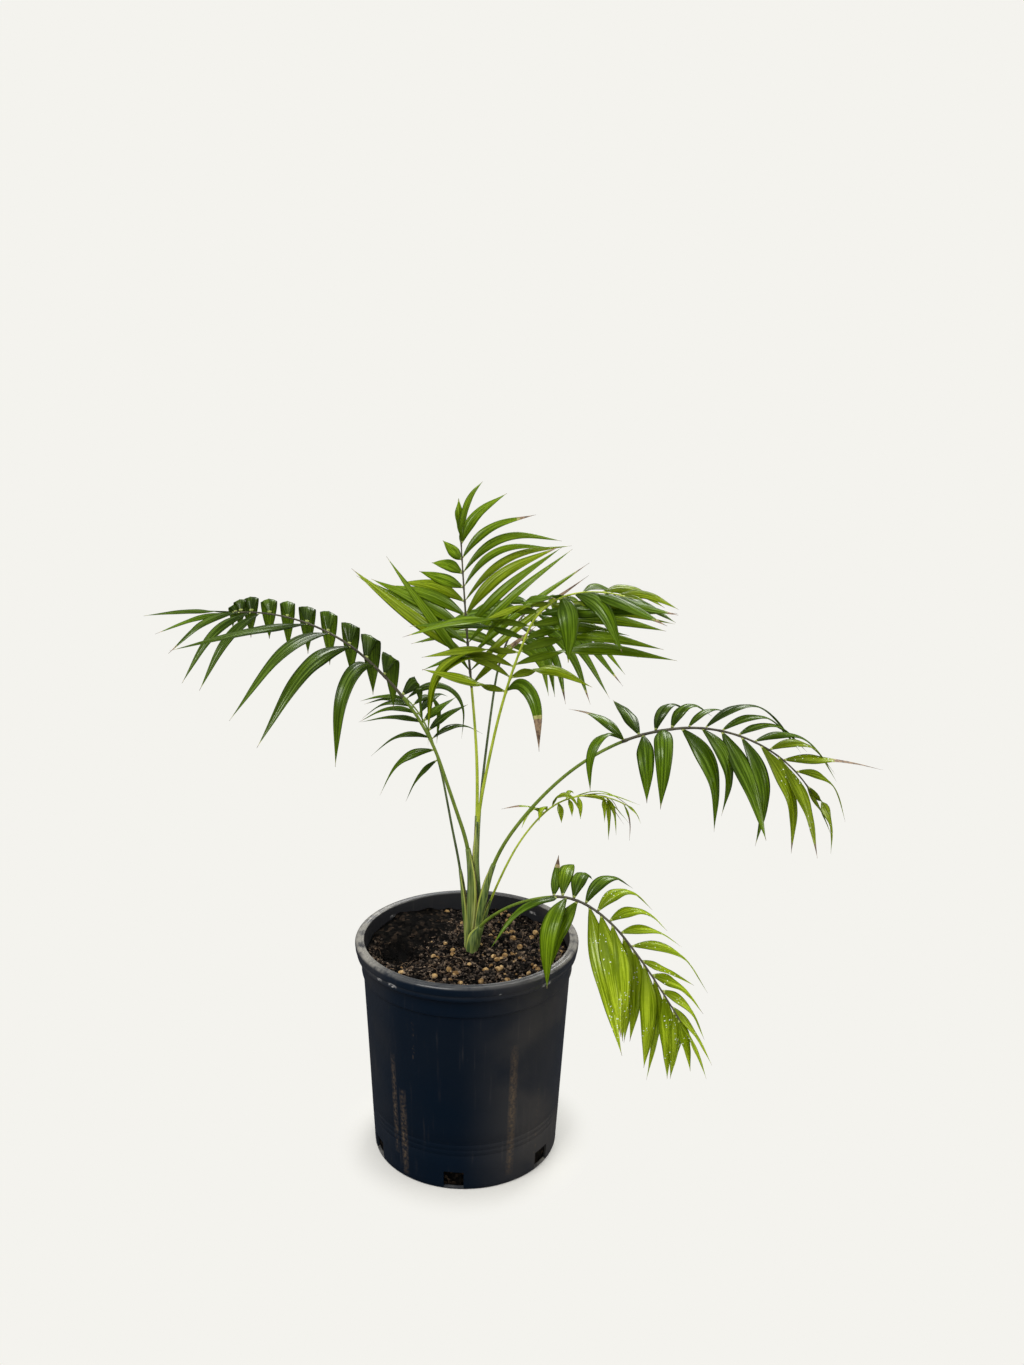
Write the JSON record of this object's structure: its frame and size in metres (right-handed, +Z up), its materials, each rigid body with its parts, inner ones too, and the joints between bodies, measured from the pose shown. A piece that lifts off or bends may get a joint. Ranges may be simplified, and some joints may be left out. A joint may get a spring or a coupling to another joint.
{
  "type": "potted parlour palm",
  "caption": "Young parlour palm with arching feather fronds on slender petioles, rising from a sheathed crown in a round black nursery pot filled with potting mix.",
  "frame": {"origin": "centre of the pot's flat underside", "axes": "+Z up, +X to the right and -Y to the front, where the drooping frond hangs over the pot's rim"},
  "size_m": [0.6237, 0.4125, 0.6253],
  "materials": {
    "pot_plastic": "satin black, moulded, dusty and scuffed",
    "potting_mix": "moist dark bark and peat crumbs with tan fibres and beads",
    "sheath": "grey-green, finely ribbed, with pale margins",
    "petiole": "smooth green, satin",
    "leaflet": "glossy green, with raised parallel nerves"
  },
  "bodies": {
    "root": {"pot": "pot_plastic", "soil": "potting_mix", "stem": "sheath", "long_left_petiole": "petiole", "small_left_petiole": "petiole", "upright_petiole": "petiole", "arching_centre_petiole": "petiole", "back_petiole": "petiole", "long_right_petiole": "petiole", "small_right_petiole": "petiole", "drooping_front_petiole": "petiole", "long_left_blade": "leaflet", "small_left_blade": "leaflet", "upright_blade": "leaflet", "arching_centre_blade": "leaflet", "back_blade": "leaflet", "long_right_blade": "leaflet", "small_right_blade": "leaflet", "drooping_front_blade": "leaflet"}
  },
  "joints": []
}
